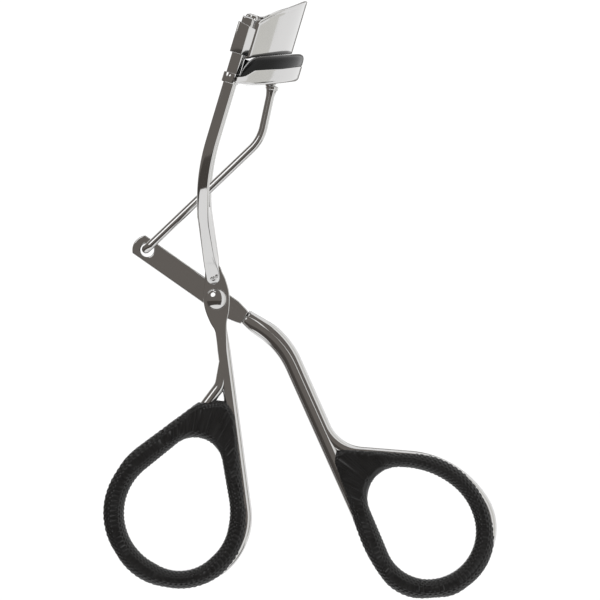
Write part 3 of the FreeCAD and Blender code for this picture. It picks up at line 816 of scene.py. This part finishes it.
def make_pad():
    """The silicone strip: full and rounded above the trough's rim, sinking at its ends."""
    half, root, rim, top = PAD_HALF, PAD_ROOT_HALF, TROUGH_RIM_Q + 0.02, PAD_TOP[0][1]
    crown = []
    for step in range(25):
        turn = math.pi * step / 24
        out = half * math.copysign(abs(math.cos(turn)) ** 0.62, math.cos(turn))
        crown.append((out, rim + 0.25 + (top - rim - 0.25) * math.sin(turn) ** 0.62))
    profile = [(root, PAD_ROOT_Q), (root, rim - 0.2), (half - 0.1, rim), (half, rim + 0.12)] + crown
    profile += [(-half, rim + 0.12), (-half + 0.1, rim), (-root, rim - 0.2), (-root, PAD_ROOT_Q)]
    rows = []
    for k in range(JAW_STEPS + 1):
        share = 2 * k / JAW_STEPS - 1
        crest_angle = end_angle(JAW_ARC_R, TROUGH_END_S) * share
        crest_s = JAW_ARC_APEX_S - JAW_ARC_R + JAW_ARC_R * math.cos(crest_angle)
        lower = (top - along_line(PAD_TOP, crest_s)) / (top - rim)
        base = along_line(TROUGH_BOTTOM, crest_s) + PAD_ABOVE_BOTTOM
        inset = max(0.0, (abs(share) - PAD_SINK_FROM) / (1 - PAD_SINK_FROM))
        sink = math.sqrt(max(0.0, 1 - inset ** 2)) * 0.8 + 0.2
        rows.append([arc_point(end_angle(JAW_ARC_R + out, TROUGH_END_S + 0.05) * share, JAW_ARC_R + out, 0,
                               settled(max(q, base), rim, lower, PAD_FLOOR_Q, sink)) for out, q in profile])
    pad = mesh_object("lash_pad_strip", *grid(rows), PAD, "jaw", ["lash_pad"])


# ---------------------------------------------------------------- push link

WIRE_TOP_DROP = 1.75
LINK_BEND = (8.0, 28.64)
LINK_BEND_R = 7.5
LINK_HOOK_R = 1.1
LINK_WIRE_R = 0.775
LINK_FLARE = 0.32
FLARE_STEPS = 6
LINK_Y = -0.3
HOOK_END_Y = 2.75
HOOK_FROM_HOLE = (-0.21, 0.15)


def make_link():
    """The bent wire with its hook in the lever's hole, its cross head in the trough, and its ferrule."""
    up = (LINK_JOINT - at(*LINK_BEND)).normalized()
    up.y = 0
    up.normalize()
    joint = (LINK_JOINT - PIVOT) / MM
    hole = lever_point(LEVER_HOLE, 0)
    hook_x, hook_z = hole[0] + HOOK_FROM_HOLE[0], hole[1] + HOOK_FROM_HOLE[1]
    top = Vector((joint.x, LINK_Y, joint.z)) - up * WIRE_TOP_DROP
    corners = [top, (LINK_BEND[0], LINK_Y, LINK_BEND[1]), (hook_x, LINK_Y, hook_z),
               (hook_x, HOOK_END_Y, hook_z)]
    path = rounded_path(corners, [LINK_BEND_R, LINK_HOOK_R], False, 0.3)
    rows = []
    last = len(path) - 1
    for i, point in enumerate(path):
        tangent = (path[min(i + 1, last)] - path[max(i - 1, 0)]).normalized()
        lateral = Vector((0.6, 0.2, -0.8))
        side = (lateral - tangent * lateral.dot(tangent)).normalized()
        other = tangent.cross(side)
        radius = LINK_WIRE_R
        if i < FLARE_STEPS:
            radius += LINK_FLARE * (1 - i / FLARE_STEPS) ** 2
        if i > last - 3:
            radius *= (1.0, 0.93, 0.75)[i - last + 2]
        rows.append([at(point.x, point.z, point.y) + (side * math.cos(math.pi * k / 16)
                     + other * math.sin(math.pi * k / 16)) * (radius * MM) for k in range(32)])
    wire = grid(rows)
    head_base = at(top.x, top.z, LINK_Y)
    neck = lathe(head_base, up, [(0.55, -0.5), (0.55, WIRE_TOP_DROP)], 32)
    barrel = lathe(LINK_JOINT - Y_DIR * (0.85 * MM), Y_DIR, [(0.7, 0.0), (0.8, 0.1), (0.8, 1.6), (0.7, 1.7)],
                   32)
    verts, faces = join_parts([wire, neck, barrel])
    mesh_object("push_link_wire", verts, faces, CHROME, "link", ["push_link"])
    ferrule = lathe(head_base - up * (0.2 * MM), up, [(0.9, 0.0), (1.12, 0.08), (1.16, 0.25), (1.16, 0.6),
                                                      (1.1, 0.74), (0.9, 0.8)], 48)
    mesh_object("link_ferrule_ring", *ferrule, CHROME, "link", ["link_ferrule"])


# ---------------------------------------------------------------- studio

def stage_material(name, colour, strength=None):
    """A matt material, or one that only glows where a strength is given."""
    material, _, _, shader = new_material(name)
    shader.inputs["Base Color"].default_value = (*colour, 1)
    shader.inputs["Roughness"].default_value = 0.9
    if strength is not None:
        shader.inputs["Base Color"].default_value = (0, 0, 0, 1)
        shader.inputs["Emission Color"].default_value = (*colour, 1)
        shader.inputs["Emission Strength"].default_value = strength
    return material


STUDIO_CENTRE = Vector((0, 0, (cad_bounds[0].z + cad_bounds[1].z) / 2))


def towards(azimuth, elevation):
    """The direction from the object at an azimuth, from the camera's side, and an elevation in degrees."""
    a, e = math.radians(azimuth), math.radians(elevation)
    return Vector((math.sin(a) * math.cos(e), -math.cos(a) * math.cos(e), math.sin(e)))


def reflection_card(name, verts, faces, colour, strength):
    """A glowing card that only the object's reflections see."""
    mesh = bpy.data.meshes.new(name)
    mesh.from_pydata([tuple(v) for v in verts], [], faces)
    mesh.materials.append(stage_material(name, colour, strength))
    card = bpy.data.objects.new(name, mesh)
    bpy.context.scene.collection.objects.link(card)
    card.visible_camera = False
    card.visible_diffuse = False
    card.visible_shadow = False
    card.visible_transmission = False


def flag(name, azimuths, elevations, radius, colour):
    """A curved card round part of the object, as a studio flag."""
    rows = []
    for i in range(13):
        elevation = elevations[0] + (elevations[1] - elevations[0]) * i / 12
        rows.append([STUDIO_CENTRE + towards(azimuths[0] + (azimuths[1] - azimuths[0]) * j / 32, elevation)
                     * radius for j in range(33)])
    reflection_card(name, *grid(rows, wrap=False, caps=False), colour, 1.0)


def softbox(name, azimuth, elevation, distance, radius, strength):
    """A bright round card."""
    direction = towards(azimuth, elevation)
    side = direction.cross(Vector((0, 0, 1))).normalized()
    up = side.cross(direction)
    rim = [STUDIO_CENTRE + direction * distance + (side * math.cos(k * math.pi / 24)
           + up * math.sin(k * math.pi / 24)) * radius for k in range(48)]
    reflection_card(name, rim, [tuple(range(48))], (1, 1, 1), strength)


# The camera's distance and rise in metres, its lens in millimetres per metre of distance, and how far
# its aim is from the middle of the object's box, across and up, in millimetres
CAMERA_DISTANCE = 1.25
CAMERA_RISE = 0.038
LENS_PER_METRE = 333.3
AIM_OFFSET = (0.18, 0.13)
FLOOR_HALF = 12.0
FLOOR_BELOW = 0.04


def make_studio():
    scene = bpy.context.scene
    world = bpy.data.worlds.new("studio")
    world.use_nodes = True
    background = world.node_tree.nodes["Background"]
    background.inputs["Color"].default_value = (1, 1, 1, 1)
    background.inputs["Strength"].default_value = 1.08
    scene.world = world
    scene.view_settings.view_transform = "Standard"

    floor = bpy.data.meshes.new("floor")
    half, drop = FLOOR_HALF, cad_bounds[0].z - FLOOR_BELOW
    floor.from_pydata([(-half, -half, drop), (half, -half, drop), (half, half, drop), (-half, half, drop)],
                      [], [(0, 1, 2, 3)])
    floor.materials.append(stage_material("pale_floor", (0.99, 0.99, 0.99)))
    floor_object = bpy.data.objects.new("floor", floor)
    scene.collection.objects.link(floor_object)
    floor_object.visible_glossy = False

    flag("front_flag", (-128, 42), (-46, 84), 1.6, (0.176, 0.160, 0.146))
    flag("low_dark_flag", (-110, 40), (-45.5, -14), 1.57, (0.075, 0.067, 0.06))
    flag("back_flag", (163, 179), (-30, 50), 1.6, (0.30, 0.29, 0.28))
    flag("side_panel", (66, 100), (-45, 60), 1.6, (0.84, 0.835, 0.80))
    flag("low_side_flag", (95, 120), (-50, -27), 1.55, (0.12, 0.115, 0.11))
    softbox("key_box", -31, 32, 1.5, 0.45, 1.7)

    camera = bpy.data.cameras.new("camera")
    camera.sensor_width = 36.0
    camera.lens = LENS_PER_METRE * CAMERA_DISTANCE
    view = bpy.data.objects.new("camera", camera)
    middle = (cad_bounds[0] + cad_bounds[1]) / 2
    target = Vector((middle.x + AIM_OFFSET[0] * MM, 0, middle.z + AIM_OFFSET[1] * MM))
    view.location = target + Vector((0, -CAMERA_DISTANCE, CAMERA_RISE))
    view.rotation_mode = "QUATERNION"
    view.rotation_quaternion = (view.location - target).to_track_quat("Z", "Y")
    scene.collection.objects.link(view)
    scene.camera = view


make_fixed_handle()
make_lever_handle()
make_grip("fixed_grip_ring", FIXED_GRIP)
make_grip("lever_grip_ring", LEVER_GRIP)
make_arm("guide_arm_near", -1, FRONT_TOE, [], "guide_arm_front")
make_arm("guide_arm_far", 1, REAR_TOE, [REAR_FOOT_BEND], "guide_arm_rear")
make_rivet()
make_upper_jaw()
make_lower_jaw()
make_pad()
make_link()
make_studio()
